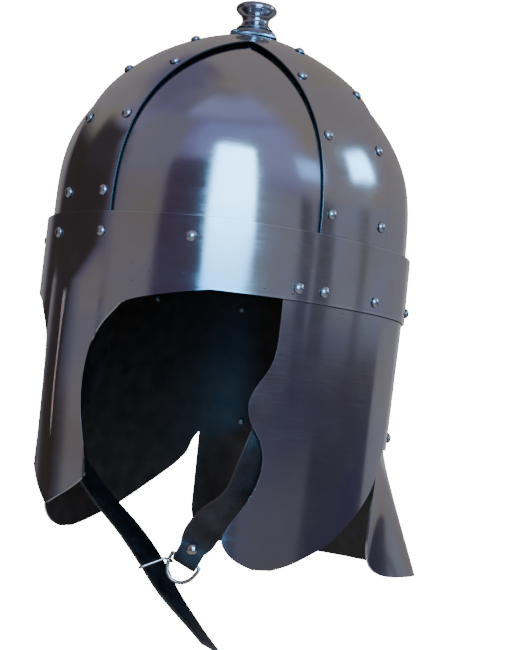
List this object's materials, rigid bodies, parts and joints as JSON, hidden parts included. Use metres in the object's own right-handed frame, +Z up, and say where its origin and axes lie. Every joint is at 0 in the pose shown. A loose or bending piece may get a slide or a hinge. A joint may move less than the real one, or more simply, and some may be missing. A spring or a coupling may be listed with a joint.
{
  "type": "nasal helmet",
  "caption": "Medieval riveted steel helmet with a cross-banded dome, turned finial, brow band with a broad nasal, cheek plates, flared neck guard and a buckled leather chin strap.",
  "frame": {"origin": "middle of the head hollow, level with the lower edge of the brow band", "axes": "-Y is the front, where the nasal is, +X is the wearer's left, +Z is up through the finial"},
  "size_m": [0.2118, 0.2654, 0.393],
  "materials": {
    "polished_steel": "polished",
    "rivet_steel": "polished",
    "nickel_buckle": "polished",
    "black_leather": "satin"
  },
  "bodies": {
    "root": {"brow_band_and_nasal": "polished_steel", "buckle_frame": "nickel_buckle", "buckle_prong": "nickel_buckle", "cheek_and_nape_plate": "polished_steel", "chin_strap_left": "black_leather", "chin_strap_right": "black_leather", "cross_band": "polished_steel", "finial_knob": "polished_steel", "infill_front_left": "polished_steel", "infill_front_right": "polished_steel", "infill_rear_left": "polished_steel", "infill_rear_right": "polished_steel", "neck_guard": "polished_steel", "rivet_brow_1": "rivet_steel", "rivet_brow_2": "rivet_steel", "rivet_brow_3": "rivet_steel", "rivet_brow_4": "rivet_steel", "rivet_finial_1": "rivet_steel", "rivet_finial_2": "rivet_steel", "rivet_finial_3": "rivet_steel", "rivet_finial_4": "rivet_steel", "rivet_front_band_1a": "rivet_steel", "rivet_front_band_1b": "rivet_steel", "rivet_front_band_2a": "rivet_steel", "rivet_front_band_2b": "rivet_steel", "rivet_front_band_3a": "rivet_steel", "rivet_front_band_3b": "rivet_steel", "rivet_front_band_4": "rivet_steel", "rivet_left_band_1a": "rivet_steel", "rivet_left_band_1b": "rivet_steel", "rivet_left_band_2a": "rivet_steel", "rivet_left_band_2b": "rivet_steel", "rivet_left_band_3a": "rivet_steel", "rivet_left_band_3b": "rivet_steel", "rivet_left_band_4": "rivet_steel", "rivet_neck_guard_1": "rivet_steel", "rivet_neck_guard_2": "rivet_steel", "rivet_rear_band_1a": "rivet_steel", "rivet_rear_band_1b": "rivet_steel", "rivet_rear_band_2a": "rivet_steel", "rivet_rear_band_2b": "rivet_steel", "rivet_rear_band_3a": "rivet_steel", "rivet_rear_band_3b": "rivet_steel", "rivet_rear_band_4": "rivet_steel", "rivet_right_band_1a": "rivet_steel", "rivet_right_band_1b": "rivet_steel", "rivet_right_band_2a": "rivet_steel", "rivet_right_band_2b": "rivet_steel", "rivet_right_band_3a": "rivet_steel", "rivet_right_band_3b": "rivet_steel", "rivet_right_band_4": "rivet_steel", "rivet_skirt_left_1": "rivet_steel", "rivet_skirt_left_2": "rivet_steel", "rivet_skirt_left_3": "rivet_steel", "rivet_skirt_left_4": "rivet_steel", "rivet_skirt_right_1": "rivet_steel", "rivet_skirt_right_2": "rivet_steel", "rivet_skirt_right_3": "rivet_steel", "rivet_skirt_right_4": "rivet_steel", "strap_stud": "nickel_buckle"}
  },
  "joints": []
}
